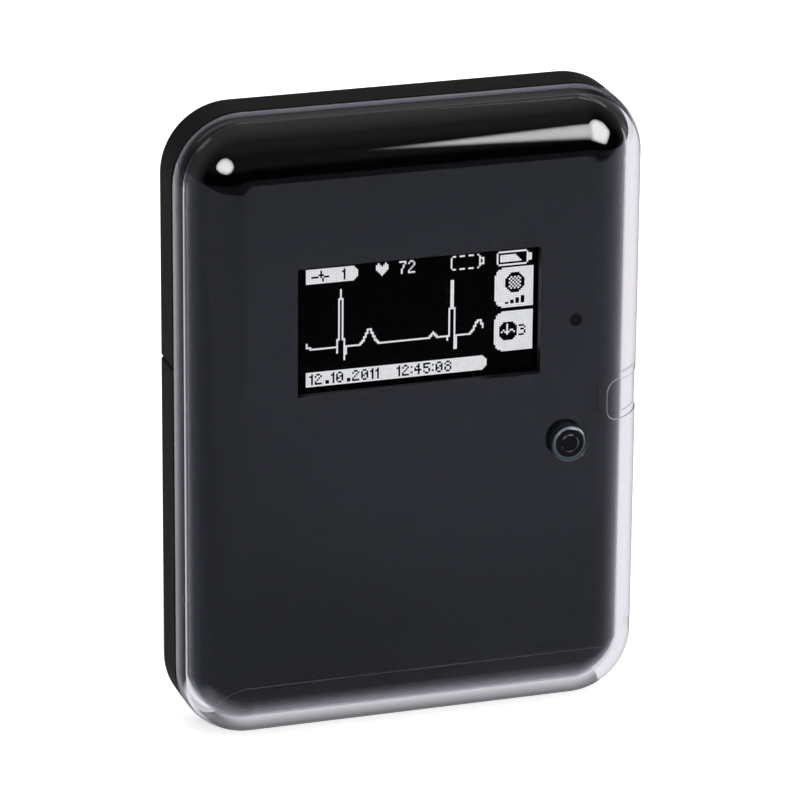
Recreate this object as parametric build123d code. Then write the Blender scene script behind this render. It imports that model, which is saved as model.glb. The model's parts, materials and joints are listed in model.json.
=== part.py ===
"""Patient-worn heart recorder: a dark slim case under a clear clip-on cover.

The part stands on its short lower edge with the screen facing -Y and +Z up.
The origin is the middle of the footprint. Depths are counted from the front of
the clear cover towards the back, and case_point turns them into places.
"""

import math
import os

from build123d import *

# Whole recorder
body_width = 72.0
body_height = 97.0
body_depth = 17.0
corner_radius = 10.4
corner_land = 1.2
rear_radius = 1.3
overrun = 1.0

# Clearances
cover_reveal = 0.45
rear_reveal = 0.35
cover_gap = 0.25
seam_gap = 0.25
fit_gap = 0.1
slide_gap = 0.05
loose_gap = 0.3

# Clear cover
cover_wall = 2.0
cover_rib_height = 0.15
cover_rib_length = 1.4
cover_rib_width = 1.2
cover_rib_share = (0.229, 0.54, 0.852)
hole_chamfer = 0.25
recess_reach = 7.2
recess_center_z = 49.5
recess_height = 6.2
recess_corner = 1.9
recess_sink = 0.18
notch_z = 10.35
notch_height = 1.9
notch_length = 1.0

# Dark front housing
housing_wall = 1.5
window_side = 17.15
window_shift = 0.37
window_rise = 54.75
window_drop = 22.3
window_corner = 0.3
housing_boss_radius = 2.6
screw_blind_depth = 5.4

# Chassis between the front and the back
chassis_plate = 1.2
chassis_rim_wall = 1.2
chassis_rim_share = 0.468
board_boss_radius = 2.2

# Rear housing and battery door
rear_wall = 1.6
back_wall = 1.6
seam_z = 58.3
seam_bevel = 0.25
rear_boss_radius = 3.2
counterbore_land = 1.6
door_rib_wall = 0.9
grip_count = 5
grip_width = 17.0
grip_groove = 0.9
grip_pitch = 2.1
grip_sink = 0.5
grip_drop = 5.3
door_rib_side = 16.0
door_rib_height = 1.2
door_rib_z = 38.0
door_nub_share = (0.2, 0.5, 0.8)
door_nub_width = 3.0
door_nub_length = 1.6

# Screws
screw_radius = 1.0
screw_head_radius = 1.9
screw_head_height = 1.3
screw_drive_radius = 0.7
screw_drive_sink = 0.7
upper_screw_side = 8.0
upper_screw_drop = 9.4
lower_screw_side = 7.7
lower_screw_z = 9.6
board_screw_side = 8.0
board_screw_rise = 3.4
board_screw_drop = 16.6
board_screw_length = 2.1

# Screen
gasket_thickness = 0.5
gasket_edge = 2.1
gasket_lip = 0.2
screen_edge_x = 2.27
screen_edge_z = 3.71
screen_back_glass = 0.75
screen_front_glass = 0.7
screen_ledge = 2.9
screen_frame_wall = 1.6
screen_frame_depth = 1.3
flex_width = 18.0
flex_thickness = 0.2
flex_bend = 1.0
flex_drop = 1.2
flex_connector_width = 20.0
flex_connector_height = 2.6
flex_connector_depth = 1.2

# Main board and what is soldered on it
board_thickness = 1.0
board_standoff = 1.5
board_side = 5.5
board_lift = 2.6
board_drop = 5.5
board_corner = 3.0
processor_size = 9.0
processor_height = 0.9
memory_width = 6.0
memory_length = 8.0
memory_height = 1.0
chip_gap = 1.5
amplifier_size = 5.0
amplifier_height = 0.85
amplifier_pitch = 7.0
amplifier_count = 3
shield_width = 24.0
shield_length = 16.0
shield_height = 1.35
shield_wall = 0.2
shield_x = 12.0
shield_drop = 27.0
buzzer_radius = 4.5
buzzer_height = 1.9
buzzer_port_radius = 0.8
buzzer_side = 15.5
holder_width = 14.6
holder_length = 15.4
holder_height = 1.9
holder_wall = 0.3
holder_x = -9.5
holder_rise = 10.0
card_width = 11.0
card_length = 15.0
card_thickness = 1.0
card_proud = 1.4
led_width = 1.6
led_height = 0.8
led_depth = 0.7

# Light pipe and event button
light_gap = 3.28
light_share = 0.395
light_radius = 0.95
light_flange_radius = 1.9
light_flange = 0.8
light_sink = 0.15
button_side = 13.05
button_drop = 11.1
button_radius = 2.55
button_bevel = 0.36
button_bevel_sink = 0.2
button_sink = 0.15
button_flange_radius = 3.4
button_flange = 0.7
button_travel = 0.6
button_mark_radius = 1.32
button_mark_wall = 0.2
button_mark_height = 0.12
switch_width = 6.0
switch_height = 1.5
switch_corner = 0.6
plunger_radius = 1.4
seal_radius = 4.35
seal_thickness = 0.4

# Battery, its bay and contacts
cell_nub_radius = 1.9
cell_nub = 0.8
cell_round = 0.6
bay_lift = 2.45
bay_side = 10.55
bay_front_wall = 0.75
bay_gap = 0.25
bay_wall = 0.75
bay_skin = 0.1
contact_thickness = 0.4
contact_share = 0.673
contact_boss_radius = 2.4
contact_boss = 0.35
spring_wire_radius = 0.3
spring_radius = 2.6
spring_turns = 4
spring_pitch = 1.05
bay_seal_width = 1.1
bay_seal_height = 0.8
bay_seal_land = 1.0

# Reserve cell behind the screen
reserve_side = 15.0
reserve_drop = 11.7
reserve_gap = 0.9
reserve_round = 0.8
reserve_fence_wall = 0.8
reserve_fence_height = 1.4

# Case seal
seal_ring_wall = 0.9
seal_ring_height = 0.8

# Patient cable socket
socket_width = 22.0
socket_length = 12.4
socket_wall = 0.6
socket_flange_share = 0.255
socket_ear = 4.2
socket_ear_length = 5.0
socket_face_z = 0.2
mouth_depth = 9.0
pin_radius = 0.35
pin_length = 3.6
pin_tail = 1.2
pin_count = 10

# Depths, counted from the front
front_y = -body_depth / 2
front_radius = corner_radius - corner_land
housing_inset = cover_wall + cover_gap
housing_inner = housing_inset + housing_wall
screen_front = housing_inner + gasket_thickness
screen_rear = screen_front + screen_front_glass + screen_back_glass
board_front = screen_rear + screen_frame_depth
board_rear = board_front + board_thickness
parting_depth = board_rear + board_standoff
cover_depth = parting_depth - cover_reveal
rear_front = parting_depth + rear_reveal
plate_rear = parting_depth + chassis_plate
door_inner = body_depth - back_wall
rear_room = door_inner - plate_rear
chassis_rim_height = chassis_rim_share * rear_room
cell_radius = (door_inner - seam_gap - housing_inner - bay_front_wall - bay_gap) / 2
cell_depth = door_inner - seam_gap - cell_radius
reserve_depth = rear_room - reserve_gap
socket_front = parting_depth + seam_gap
socket_height = door_inner - seam_gap - socket_front
socket_flange = socket_flange_share * rear_room

# Places and sizes across the width
half_width = body_width / 2
recess_left_x = half_width - recess_reach
window_width = body_width - 2 * window_side
screen_width = window_width + 2 * screen_edge_x
window_x = -window_shift
light_x = window_x + screen_width / 2 + light_gap
button_x = half_width - button_side
buzzer_x = buzzer_side - half_width
upper_screw_x = half_width - upper_screw_side
lower_screw_x = half_width - lower_screw_side
board_screw_x = half_width - board_screw_side
board_width = body_width - 2 * board_side
reserve_width = body_width - 2 * reserve_side
bay_right_x = half_width - bay_side
bay_left_x = -bay_right_x
bay_length = 2 * bay_right_x
spring_length = spring_turns * spring_pitch
cell_right_x = bay_right_x - contact_thickness - contact_boss - slide_gap - cell_nub
cell_length = bay_length - cell_nub - spring_length - 4 * contact_thickness - 2 * loose_gap
cell_left_x = cell_right_x - cell_length
contact_width = 2 * contact_share * cell_radius
processor_x = shield_x - shield_width / 2 - chip_gap - processor_size / 2
memory_x = processor_x - processor_size / 2 - chip_gap - memory_width / 2
pin_pitch = (socket_width - 2 * socket_wall) / (pin_count + 1)
pin_y = front_y + socket_front + socket_height / 2

# Places and sizes up the height
window_height = body_height - window_rise - window_drop
window_z = window_rise + window_height / 2
screen_height = window_height + 2 * screen_edge_z
screen_low = window_rise - screen_edge_z
screen_high = screen_low + screen_height
light_z = window_rise + light_share * window_height
button_z = window_rise - button_drop
upper_screw_z = body_height - upper_screw_drop
bay_radius = cell_radius + bay_gap
cell_z = socket_length + bay_lift + bay_seal_width + bay_seal_land + bay_radius
board_bottom_z = cell_z + bay_radius + bay_wall + board_lift
board_top_z = body_height - board_drop
board_screw_low_z = board_bottom_z + board_screw_rise
board_screw_high_z = body_height - board_screw_drop
amplifier_z = (screen_high + board_top_z) / 2
shield_z = body_height - shield_drop
holder_z = board_bottom_z + holder_rise
flex_top_z = screen_low - flex_drop - 2 * flex_bend
grip_top_z = seam_z - grip_drop
reserve_low_z = seam_z + rear_wall + 2 * loose_gap + reserve_fence_wall
reserve_height = body_height - reserve_drop - reserve_low_z
reserve_z = reserve_low_z + reserve_height / 2

# Rows of screws, each as width and height
upper_screws = [(-upper_screw_x, upper_screw_z), (upper_screw_x, upper_screw_z)]
lower_screws = [(-lower_screw_x, lower_screw_z), (lower_screw_x, lower_screw_z)]
board_screws_at = [
    (side * board_screw_x, z) for side in (-1, 1) for z in (board_screw_low_z, board_screw_high_z)
]
ear_screws = [
    (side * (socket_width + socket_ear) / 2, socket_length - socket_ear_length / 2) for side in (-1, 1)
]


def case_point(depth):
    """Y of a depth counted from the front of the clear cover."""
    return front_y + depth


def plate(width, height, corner, front, rear, x, z):
    """Round-cornered plate between two depths, centred on x and z."""
    plane = Plane.XZ.offset(-case_point(rear))
    return extrude(plane * Pos(x, z, 0) * RectangleRounded(width, height, corner), rear - front)


def case_block(inset, front, rear):
    """The case outline drawn in by inset, between two depths."""
    width = body_width - 2 * inset
    height = body_height - 2 * inset
    return plate(width, height, corner_radius - inset, front, rear, 0, body_height / 2)


def domed_block(inset, rear):
    """The case outline drawn in all round and from the front, with its large front rounding."""
    block = case_block(inset, inset, rear)
    return fillet(block.faces().sort_by(Axis.Y)[0].edges(), front_radius - inset)


def box(left, right, front, rear, low, high):
    """Box between two sides, two depths and two heights."""
    size = Box(right - left, rear - front, high - low)
    return Pos((left + right) / 2, case_point((front + rear) / 2), (low + high) / 2) * size


def rod(radius, front, rear, x, z):
    """Round bar along the depth."""
    plane = Plane.XZ.offset(-case_point(rear))
    return extrude(plane * Pos(x, z, 0) * Circle(radius), rear - front)


def bar(radius, left, right, depth, z):
    """Round bar along the width."""
    plane = Plane.YZ.offset(left)
    return extrude(plane * Pos(case_point(depth), z, 0) * Circle(radius), right - left)


def clear_cover():
    """Clear shell with large roundings, a button hole, a nail recess and centring ribs."""
    outer = domed_block(0, parting_depth)
    cavity = domed_block(cover_wall, parting_depth + overrun)
    cover = outer - cavity
    cover -= box(-body_width, body_width, cover_depth, body_depth, -overrun, body_height + overrun)
    cover -= rod(button_radius + fit_gap, -overrun, cover_wall + overrun, button_x, button_z)
    mouth = Plane.XZ.offset(-case_point(hole_chamfer)) * Pos(button_x, button_z, 0)
    hole_radius = button_radius + fit_gap
    sink = loft([mouth * Circle(hole_radius), mouth * Pos(0, 0, hole_chamfer) * Circle(hole_radius + hole_chamfer)])
    cover -= sink
    reach = recess_reach + overrun
    middle_x = recess_left_x + reach / 2
    recess_low = recess_center_z - recess_height / 2
    scoop = plate(
        reach, recess_height, recess_corner, -overrun, cover_depth + overrun, middle_x, recess_center_z
    )
    square_end = box(
        middle_x, half_width + overrun, -overrun, cover_depth + overrun, recess_low, recess_low + recess_height
    )
    cover -= (scoop + square_end) - domed_block(recess_sink, cover_depth + 2 * overrun)
    cover -= box(
        half_width - cover_wall / 2,
        half_width + overrun,
        cover_depth - notch_length,
        cover_depth + overrun,
        notch_z - notch_height / 2,
        notch_z + notch_height / 2,
    )
    inner_side = half_width - cover_wall
    for share in cover_rib_share:
        for side in (-1, 1):
            tip = inner_side - cover_rib_height
            root = inner_side + cover_rib_height
            low = share * body_height - cover_rib_width / 2
            rib = box(tip, root, cover_depth - cover_rib_length, cover_depth, low, low + cover_rib_width)
            cover += rib if side > 0 else mirror(rib, Plane.YZ)
    return cover


def front_housing():
    """Dark inner shell with the screen window, light hole, button hole and screw bosses."""
    outer = domed_block(housing_inset, parting_depth)
    shell = outer - domed_block(housing_inner, parting_depth + overrun)
    for x, z in upper_screws + lower_screws:
        boss = rod(housing_boss_radius, housing_inset, parting_depth, x, z) & outer
        shell += boss
    for x, z in upper_screws + lower_screws:
        shell -= rod(screw_radius + slide_gap, parting_depth - screw_blind_depth, parting_depth + overrun, x, z)
    shell -= plate(window_width, window_height, window_corner, 0, housing_inner + overrun, window_x, window_z)
    shell -= rod(light_radius + slide_gap, 0, housing_inner + overrun, light_x, light_z)
    shell -= rod(button_radius + fit_gap, 0, housing_inner + overrun, button_x, button_z)
    return shell


def chassis():
    """Carrier plate with the battery trough, board bosses, card window and rear rim."""
    frame = case_block(housing_inset, parting_depth, plate_rear)
    rim_rear = plate_rear + chassis_rim_height
    rim = case_block(housing_inset, plate_rear, rim_rear)
    rim -= case_block(housing_inset + chassis_rim_wall, plate_rear - overrun, rim_rear + overrun)
    frame += rim
    left = bay_left_x - bay_wall
    right = bay_right_x + bay_wall
    trough = bar(bay_radius + bay_wall, left, right, cell_depth, cell_z)
    trough -= box(left - overrun, right + overrun, plate_rear, body_depth, 0, body_height)
    trough -= box(left - overrun, right + overrun, 0, housing_inner + bay_skin, 0, body_height)
    frame += trough
    frame -= bar(bay_radius, bay_left_x, bay_right_x, cell_depth, cell_z)
    frame -= box(bay_left_x, bay_right_x, cell_depth, body_depth, cell_z - bay_radius, cell_z + bay_radius)
    for x, z in board_screws_at:
        frame += rod(board_boss_radius, board_rear, parting_depth, x, z)
        frame -= rod(screw_radius + slide_gap, board_rear - overrun, plate_rear + overrun, x, z)
    for x, z in upper_screws + lower_screws:
        frame -= rod(screw_radius + fit_gap, parting_depth - overrun, plate_rear + overrun, x, z)
    frame -= plate(
        holder_width + 2 * overrun,
        holder_length + 2 * card_proud + 2 * overrun,
        overrun,
        parting_depth - overrun,
        plate_rear + overrun,
        holder_x,
        holder_z - card_proud,
    )
    fence_width = reserve_width + 2 * loose_gap + 2 * reserve_fence_wall
    fence_height = reserve_height + 2 * loose_gap + 2 * reserve_fence_wall
    fence = plate(
        fence_width, fence_height, reserve_fence_wall, plate_rear, plate_rear + reserve_fence_height, 0, reserve_z
    )
    fence -= plate(
        reserve_width + 2 * loose_gap,
        reserve_height + 2 * loose_gap,
        reserve_round,
        plate_rear - overrun,
        plate_rear + reserve_fence_height + overrun,
        0,
        reserve_z,
    )
    frame += fence
    half = socket_width / 2 + loose_gap
    ear = half + socket_ear
    frame -= box(-half, half, parting_depth - overrun, body_depth, 0, socket_length + loose_gap)
    frame -= box(-ear, ear, plate_rear, body_depth, 0, socket_length + loose_gap)
    for x, z in ear_screws:
        frame -= rod(screw_radius + slide_gap, parting_depth - overrun, plate_rear + overrun, x, z)
    return frame


def rear_block():
    """Hollow back of the case, before the seam divides it into housing and door."""
    outer = case_block(0, rear_front, body_depth)
    outer = fillet(outer.faces().sort_by(Axis.Y)[-1].edges(), rear_radius)
    return outer - case_block(rear_wall, parting_depth - overrun, door_inner)


def bevel_seam(half, z):
    """Bevel the outer edges of a half of the back where it is cut at height z."""
    cut = half.faces().filter_by(Axis.Z).group_by(lambda face: abs(face.center().Z - z))[0]
    return chamfer(cut[0].outer_wire().edges().filter_by(lambda edge: on_outside(edge.center())), seam_bevel)


def on_outside(point):
    """True for a point on the outer skin of the back, and not on its inner skin or parting face."""
    beside = abs(point.X) > half_width - rear_wall / 2
    behind = point.Y > case_point(door_inner + back_wall / 2)
    return beside or behind


def rear_housing():
    """Fixed upper half of the back, with a closing wall along the seam and two screw bosses."""
    half = rear_block()
    half -= box(-body_width, body_width, 0, 2 * body_depth, -overrun, seam_z)
    half = bevel_seam(half, seam_z)
    reach = half_width - housing_inset - chassis_rim_wall - loose_gap
    half += box(-reach, reach, plate_rear, door_inner, seam_z, seam_z + rear_wall)
    for x, z in upper_screws:
        half += rod(rear_boss_radius, plate_rear, door_inner, x, z)
        half -= rod(screw_radius + fit_gap, parting_depth, body_depth + overrun, x, z)
        seat = plate_rear + counterbore_land
        half -= rod(screw_head_radius + fit_gap, seat, body_depth + overrun, x, z)
    return half


def battery_door():
    """Lower half of the back: it lifts off, with a sealing rib, a grip and a notch for the socket."""
    door = rear_block()
    door -= box(-body_width, body_width, 0, 2 * body_depth, seam_z - seam_gap, body_height + overrun)
    door = bevel_seam(door, seam_z - seam_gap)
    rib_front = plate_rear + bay_seal_height + loose_gap
    inner_x = bay_length + 2 * bay_seal_land
    inner_z = 2 * bay_radius + 2 * bay_seal_land
    rib = plate(
        inner_x + 2 * door_rib_wall, inner_z + 2 * door_rib_wall, door_rib_wall, rib_front, door_inner, 0, cell_z
    )
    rib -= plate(inner_x, inner_z, door_rib_wall, rib_front - overrun, door_inner + overrun, 0, cell_z)
    door += rib
    rib_half = half_width - door_rib_side
    door += box(
        -rib_half,
        rib_half,
        door_inner - door_rib_height,
        door_inner,
        door_rib_z,
        door_rib_z + door_rib_wall,
    )
    for step in range(grip_count):
        z = grip_top_z - step * grip_pitch
        door -= plate(
            grip_width, grip_groove, grip_groove / 2 - slide_gap, body_depth - grip_sink, body_depth + overrun, 0, z
        )
    inner_side = half_width - rear_wall
    nub_tip = half_width - housing_inset + fit_gap
    for share in door_nub_share:
        low = share * seam_z - door_nub_width / 2
        nub = box(nub_tip, inner_side + fit_gap, plate_rear, plate_rear + door_nub_length, low, low + door_nub_width)
        door += nub
        door += mirror(nub, Plane.YZ)
    half = socket_width / 2 + loose_gap
    door -= box(-half, half, 0, socket_front + socket_height + fit_gap, -overrun, rear_wall + overrun)
    return door


def bay_seal():
    """Rubber frame round the battery bay, pressed by the rib of the door."""
    inner_x = bay_length + 2 * bay_seal_land
    inner_z = 2 * bay_radius + 2 * bay_seal_land
    rear = plate_rear + bay_seal_height
    ring = plate(
        inner_x + 2 * bay_seal_width, inner_z + 2 * bay_seal_width, bay_seal_width, plate_rear, rear, 0, cell_z
    )
    return ring - plate(inner_x, inner_z, bay_seal_width, plate_rear - overrun, rear + overrun, 0, cell_z)


def case_seal():
    """Rubber ring on the chassis, just inside the wall of the front housing."""
    inset = housing_inner + fit_gap
    front = parting_depth - seal_ring_height
    ring = case_block(inset, front, parting_depth)
    ring -= case_block(inset + seal_ring_wall, front - overrun, parting_depth + overrun)
    for x, z in upper_screws + lower_screws:
        ring -= rod(housing_boss_radius + fit_gap, front - overrun, parting_depth + overrun, x, z)
    return ring


def screen_gasket():
    """Black foam frame between the window and the screen glass."""
    outer_width = window_width + 2 * gasket_edge
    outer_height = window_height + 2 * gasket_edge
    ring = plate(outer_width, outer_height, gasket_edge / 2, housing_inner, screen_front, window_x, window_z)
    hole = plate(
        window_width + 2 * gasket_lip,
        window_height + 2 * gasket_lip,
        window_corner,
        housing_inner - overrun,
        screen_front + overrun,
        window_x,
        window_z,
    )
    return ring - hole


def screen_glass():
    """Screen of two bonded glass plates, the front one shorter to leave the ledge for the flex."""
    step = screen_front + screen_front_glass
    left = window_x - screen_width / 2
    right = window_x + screen_width / 2
    back = box(left, right, step, screen_rear, screen_low, screen_high)
    front = box(left, right, screen_front, step, screen_low + screen_ledge, screen_high)
    return back + front


def screen_frame():
    """Carrier between the screen and the board, open in the middle and ribbed."""
    left = window_x - screen_width / 2
    right = window_x + screen_width / 2
    wall = screen_frame_wall
    frame = box(left, right, screen_rear, board_front, screen_low, screen_high)
    frame -= box(left + wall, window_x - wall / 2, 0, body_depth, screen_low + wall, screen_high - wall)
    frame -= box(window_x + wall / 2, right - wall, 0, body_depth, screen_low + wall, screen_high - wall)
    return frame


def screen_flex():
    """Flexible strip that steps back from the ledge of the screen to its connector."""
    start = screen_low + screen_ledge - fit_gap
    level = screen_front + screen_front_glass - flex_thickness / 2
    end_level = board_front - flex_connector_depth - flex_thickness / 2
    step = end_level - level
    first = (case_point(level), start)
    second = (case_point(level), flex_top_z + 2 * flex_bend)
    third = (case_point(level + step), flex_top_z)
    fourth = (case_point(level + step), flex_top_z - flex_connector_height)
    line = Polyline(first, second, third, fourth)
    strip = Plane.YZ.offset(-flex_width / 2) * trace(line, flex_thickness)
    return extrude(strip, flex_width)


def flex_connector():
    """Low connector on the board that takes the flex."""
    low = flex_top_z - flex_connector_height
    half = flex_connector_width / 2
    return box(-half, half, board_front - flex_connector_depth, board_front, low, low + flex_connector_height)


def main_board():
    """Circuit board with round corners, screw holes and corners cut free of the case bosses."""
    height = board_top_z - board_bottom_z
    middle = (board_top_z + board_bottom_z) / 2
    board = plate(board_width, height, board_corner, board_front, board_rear, 0, middle)
    for x, z in board_screws_at:
        board -= rod(screw_radius + fit_gap, board_front - overrun, board_rear + overrun, x, z)
    clear = housing_boss_radius + loose_gap
    for x, z in upper_screws:
        board -= rod(clear, board_front - overrun, board_rear + overrun, x, z)
        side = math.copysign(board_width / 2 + overrun, x)
        left, right = sorted((x, side))
        board -= box(left, right, board_front - overrun, board_rear + overrun, z - clear, board_top_z + overrun)
        board -= box(x - clear, x + clear, board_front - overrun, board_rear + overrun, z, board_top_z + overrun)
    return board


def front_chip(width, height, thickness, x, z):
    """Chip on the front of the board."""
    return box(x - width / 2, x + width / 2, board_front - thickness, board_front, z - height / 2, z + height / 2)


def rear_chip(width, height, thickness, x, z):
    """Chip on the rear of the board."""
    return box(x - width / 2, x + width / 2, board_rear, board_rear + thickness, z - height / 2, z + height / 2)


def processor_chip():
    """Square processor beside the shielded signal input."""
    return rear_chip(processor_size, processor_size, processor_height, processor_x, shield_z)


def memory_chip():
    """Longer memory chip beside the processor."""
    return rear_chip(memory_width, memory_length, memory_height, memory_x, shield_z)


def input_amplifiers():
    """Row of small amplifiers along the top of the board."""
    row = []
    for index in range(amplifier_count):
        x = (index - (amplifier_count - 1) / 2) * amplifier_pitch
        row.append(front_chip(amplifier_size, amplifier_size, amplifier_height, x, amplifier_z))
    return Compound(children=row)


def shield_can():
    """Thin metal lid over the signal input, open towards the board."""
    rear = board_rear + shield_height
    left = shield_x - shield_width / 2
    low = shield_z - shield_length / 2
    can = box(left, left + shield_width, board_rear, rear, low, low + shield_length)
    can -= box(
        left + shield_wall,
        left + shield_width - shield_wall,
        board_rear - overrun,
        rear - shield_wall,
        low + shield_wall,
        low + shield_length - shield_wall,
    )
    return can


def buzzer():
    """Round sounder with its port."""
    disc = rod(buzzer_radius, board_front - buzzer_height, board_front, buzzer_x, button_z)
    port_floor = board_front - buzzer_height / 2
    return disc - rod(buzzer_port_radius, board_front - buzzer_height - overrun, port_floor, buzzer_x, button_z)


def card_holder():
    """Flat metal holder for the memory card, open at its lower end."""
    left = holder_x - holder_width / 2
    low = holder_z - holder_length / 2
    rear = board_rear + holder_height
    holder = box(left, left + holder_width, board_rear, rear, low, low + holder_length)
    slot_half = card_width / 2 + fit_gap
    middle = board_rear + holder_height / 2
    slot_depth = card_thickness / 2 + fit_gap
    holder -= box(
        holder_x - slot_half,
        holder_x + slot_half,
        middle - slot_depth,
        middle + slot_depth,
        low - overrun,
        low + holder_length - holder_wall,
    )
    view = holder_width / 4
    holder -= box(
        holder_x - view, holder_x + view, middle, rear + overrun, low + holder_length / 2, low + holder_length - view
    )
    return holder


def memory_card():
    """Small memory card with its clipped corner, a little proud of the holder for a nail."""
    high = holder_z - holder_length / 2 - card_proud + card_length
    left = holder_x - card_width / 2
    middle = board_rear + holder_height / 2
    front = middle - card_thickness / 2
    card = box(left, left + card_width, front, front + card_thickness, high - card_length, high)
    corner = card.edges().filter_by(Axis.Y).sort_by(Axis.Z)[-2:].sort_by(Axis.X)[-1]
    return chamfer(corner, card_proud)


def status_led():
    """Tiny lamp behind the light pipe."""
    return front_chip(led_width, led_height, led_depth, light_x, light_z)


def light_pipe():
    """Round light pipe with a flange behind the wall."""
    tip = housing_inset + light_sink
    end = board_front - led_depth - loose_gap
    pipe = rod(light_radius, tip, end, light_x, light_z)
    return pipe + rod(light_flange_radius, housing_inner, housing_inner + light_flange, light_x, light_z)


def event_button():
    """Round button with a retaining flange and a raised plain ring and bar on its face."""
    cap = rod(button_radius, button_sink, housing_inner + fit_gap, button_x, button_z)
    cap = chamfer(cap.faces().sort_by(Axis.Y)[0].edges(), button_bevel_sink, button_bevel)
    flange_front = housing_inner + fit_gap
    cap += rod(button_flange_radius, flange_front, flange_front + button_flange, button_x, button_z)
    mark_front = button_sink - button_mark_height
    ring = rod(button_mark_radius, mark_front, button_sink, button_x, button_z)
    ring -= rod(button_mark_radius - button_mark_wall, mark_front - overrun, button_sink, button_x, button_z)
    inner = button_mark_radius - button_mark_wall
    bar_shape = Pos(button_x, case_point(mark_front + button_mark_height / 2), button_z)
    stroke = bar_shape * Rotation(0, -45, 0) * Box(2 * inner, button_mark_height, button_mark_wall)
    return cap + ring + stroke


def switch_plunger():
    """Round plunger of the switch, pushed by the button."""
    front = housing_inner + fit_gap + button_flange
    rear = board_front - button_travel - fit_gap
    return rod(plunger_radius, front, rear, button_x, button_z)


def switch_body():
    """Body of the push switch on the board, with the bore of its plunger."""
    half = switch_width / 2
    body = box(
        button_x - half,
        button_x + half,
        board_front - switch_height,
        board_front,
        button_z - half,
        button_z + half,
    )
    body = chamfer(body.edges().filter_by(Axis.Y), switch_corner)
    return body - rod(plunger_radius + slide_gap, 0, board_front - slide_gap, button_x, button_z)


def button_seal():
    """Soft ring round the flange of the button, behind the wall."""
    ring = rod(seal_radius, housing_inner, housing_inner + seal_thickness, button_x, button_z)
    bore = button_flange_radius + fit_gap
    return ring - rod(bore, 0, body_depth, button_x, button_z)


def battery_cell():
    """Round battery with its raised positive end."""
    cell = bar(cell_radius, cell_left_x, cell_right_x, cell_depth, cell_z)
    cell = fillet(cell.edges().filter_by(GeomType.CIRCLE), cell_round)
    return cell + bar(cell_nub_radius, cell_right_x, cell_right_x + cell_nub, cell_depth, cell_z)


def contact_plate(wall_x, side):
    """Sprung sheet contact against one end wall of the bay."""
    face = wall_x + side * contact_thickness
    half = contact_width / 2
    front = cell_depth - half
    return box(min(wall_x, face), max(wall_x, face), front, front + contact_width, cell_z - half, cell_z + half)


def positive_contact():
    """Contact at the nub end, with a round boss that meets the nub."""
    face = bay_right_x - contact_thickness
    boss = bar(contact_boss_radius, face - contact_boss, face, cell_depth, cell_z)
    return contact_plate(bay_right_x, -1) + boss


def negative_contact():
    """Flat contact that carries the battery spring."""
    return contact_plate(bay_left_x, 1)


def helix_point(angle, start_x):
    """Place on the spring's centre line and its direction there."""
    rise = spring_pitch / (2 * math.pi)
    spot = Vector(
        start_x + rise * angle,
        case_point(cell_depth) + spring_radius * math.cos(angle),
        cell_z + spring_radius * math.sin(angle),
    )
    way = Vector(rise, -spring_radius * math.sin(angle), spring_radius * math.cos(angle))
    return spot, way.normalized()


def battery_spring():
    """Coil spring of the negative end, one wire swept along pairs of tangent arcs."""
    start_x = bay_left_x + contact_thickness + spring_wire_radius
    quarter = math.pi / 2
    steps = spring_turns * 4
    edges = []
    for step in range(steps):
        spot, way = helix_point(step * quarter, start_x)
        last, last_way = helix_point((step + 1) * quarter, start_x)
        chord = last - spot
        both = way + last_way
        spread = 2 * (1 - way.dot(last_way))
        lean = chord.dot(both)
        reach = (-lean + math.sqrt(lean * lean + spread * chord.dot(chord))) / spread
        middle = (spot + way * reach + last - last_way * reach) * 0.5
        middle_way = (last - last_way * reach - spot - way * reach).normalized()
        edges.append(TangentArc(spot, middle, tangent=way))
        edges.append(TangentArc(middle, last, tangent=middle_way))
    path = Wire(edges)
    first, first_way = helix_point(0, start_x)
    section = Plane(origin=first, z_dir=first_way) * Circle(spring_wire_radius)
    coil = sweep(section, path)
    gap = spring_pitch - 2 * spring_wire_radius
    print("spring: least gap between turns", round(gap, 3), "mm")
    return coil


def reserve_cell():
    """Flat rechargeable cell behind the screen."""
    rear = plate_rear + reserve_depth
    cell = plate(reserve_width, reserve_height, reserve_round, plate_rear, rear, 0, reserve_z)
    return fillet(cell.faces().sort_by(Axis.Y)[-1].edges(), reserve_round)


def screw(seat, end, x, z):
    """Screw with a round head behind its seat and a drive recess."""
    head = rod(screw_head_radius, seat, seat + screw_head_height, x, z)
    floor = seat + screw_head_height - screw_drive_sink
    head -= rod(screw_drive_radius, floor, seat + screw_head_height + overrun, x, z)
    return head + rod(screw_radius, end, seat, x, z)


def housing_screws():
    """Four case screws: two in the rear housing, two under the battery door."""
    end = parting_depth - screw_blind_depth + fit_gap
    upper = [screw(plate_rear + counterbore_land, end, x, z) for x, z in upper_screws]
    lower = [screw(plate_rear, end, x, z) for x, z in lower_screws]
    return Compound(children=upper + lower)


def board_screws():
    """Four short screws from the front of the board into the chassis bosses."""
    group = []
    for x, z in board_screws_at:
        head = rod(screw_head_radius, board_front - screw_head_height, board_front, x, z)
        floor = board_front - screw_head_height + screw_drive_sink
        head -= rod(screw_drive_radius, board_front - screw_head_height - overrun, floor, x, z)
        group.append(head + rod(screw_radius, board_front, board_front + board_screw_length, x, z))
    return Compound(children=group)


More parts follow.
